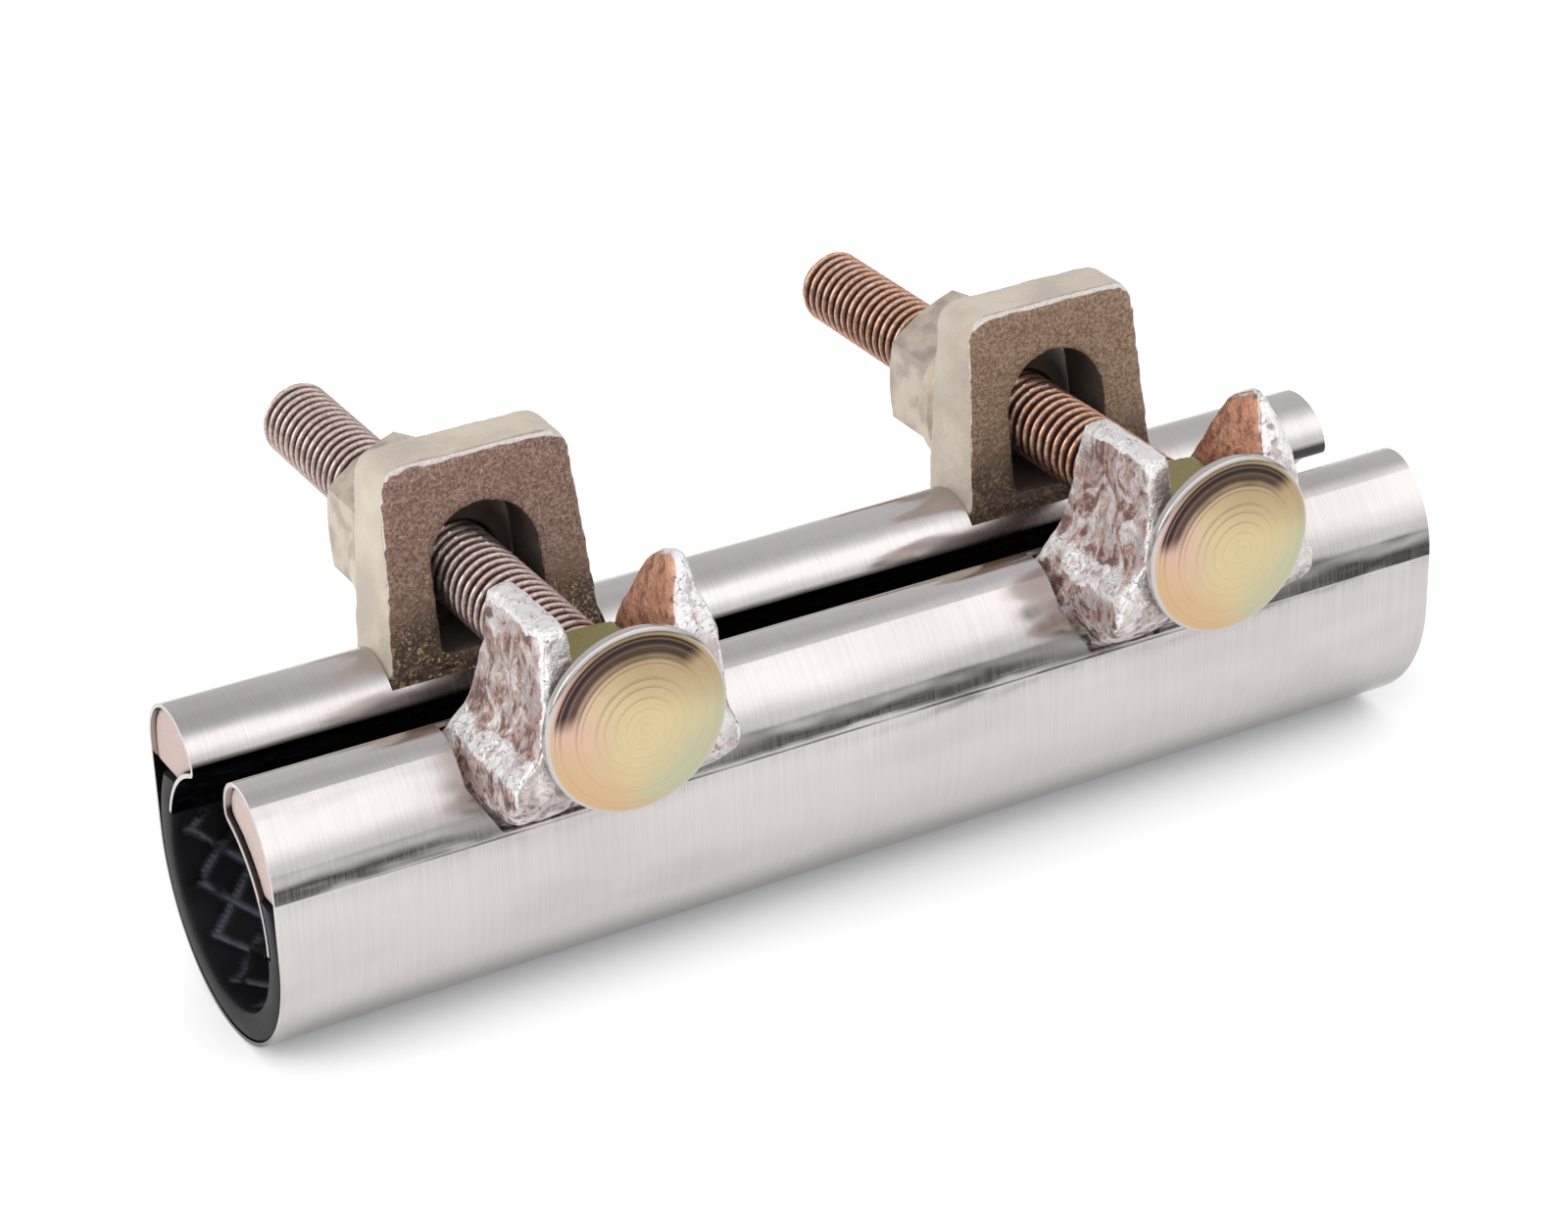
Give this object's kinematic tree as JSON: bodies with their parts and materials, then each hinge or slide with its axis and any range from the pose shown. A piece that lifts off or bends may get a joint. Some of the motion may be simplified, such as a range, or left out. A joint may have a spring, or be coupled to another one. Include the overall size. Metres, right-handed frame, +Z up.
{
  "type": "pipe repair clamp",
  "caption": "Stainless pipe repair clamp: a rubber-lined band rolled over cast bars, drawn shut by round-head bolts in open forks and slotted lugs.",
  "frame": {"origin": "on the pipe's axis, half way along the clamp", "axes": "+X along the pipe, -Y to the bolt heads, +Y to the nuts, +Z up through the gap between the rolled edges"},
  "size_m": [0.1524, 0.092, 0.0582],
  "materials": {
    "stainless": "bright brushed",
    "black_rubber": "matt moulded",
    "bright_zinc_casting": "rough cast, bright zinc",
    "brown_zinc_casting": "sand cast, yellow zinc",
    "yellow_zinc_bolt": "yellow zinc",
    "washer_zinc": "dull zinc",
    "nut_zinc": "dull zinc"
  },
  "bodies": {
    "root": {"stainless_band": "stainless", "rubber_gasket": "black_rubber", "fork_bar": "bright_zinc_casting", "lug_bar": "brown_zinc_casting"},
    "seat_left": {"washer_left": "washer_zinc"},
    "nut_left": {"nut_left": "nut_zinc"},
    "bolt_left": {"bolt_left": "yellow_zinc_bolt"},
    "seat_right": {"washer_right": "washer_zinc"},
    "nut_right": {"nut_right": "nut_zinc"},
    "bolt_right": {"bolt_right": "yellow_zinc_bolt"}
  },
  "joints": [
    {"name": "swing_left", "type": "hinge", "parent": "root", "child": "seat_left", "pos_m": [-0.0381, 0.02559, 0.024], "axis": [-1, 0, 0], "range_deg": [0, 15]},
    {"name": "nut_turn_left", "type": "hinge", "parent": "seat_left", "child": "nut_left", "pos_m": [-0.0381, 0.02559, 0.024], "axis": [0, 1, 0], "range_deg": [0, 4320]},
    {"name": "bolt_travel_left", "type": "slide", "parent": "seat_left", "child": "bolt_left", "axis": [0, -1, 0], "range_m": [0, 0.01905]},
    {"name": "swing_right", "type": "hinge", "parent": "root", "child": "seat_right", "pos_m": [0.0381, 0.02559, 0.024], "axis": [-1, 0, 0], "range_deg": [0, 15]},
    {"name": "nut_turn_right", "type": "hinge", "parent": "seat_right", "child": "nut_right", "pos_m": [0.0381, 0.02559, 0.024], "axis": [0, 1, 0], "range_deg": [0, 4320]},
    {"name": "bolt_travel_right", "type": "slide", "parent": "seat_right", "child": "bolt_right", "axis": [0, -1, 0], "range_m": [0, 0.01905]}
  ],
  "couplings": [
    {"joint": "nut_turn_left", "follows": "bolt_travel_left", "rad_per_m": 3957.9},
    {"joint": "nut_turn_right", "follows": "bolt_travel_right", "rad_per_m": 3957.9}
  ]
}
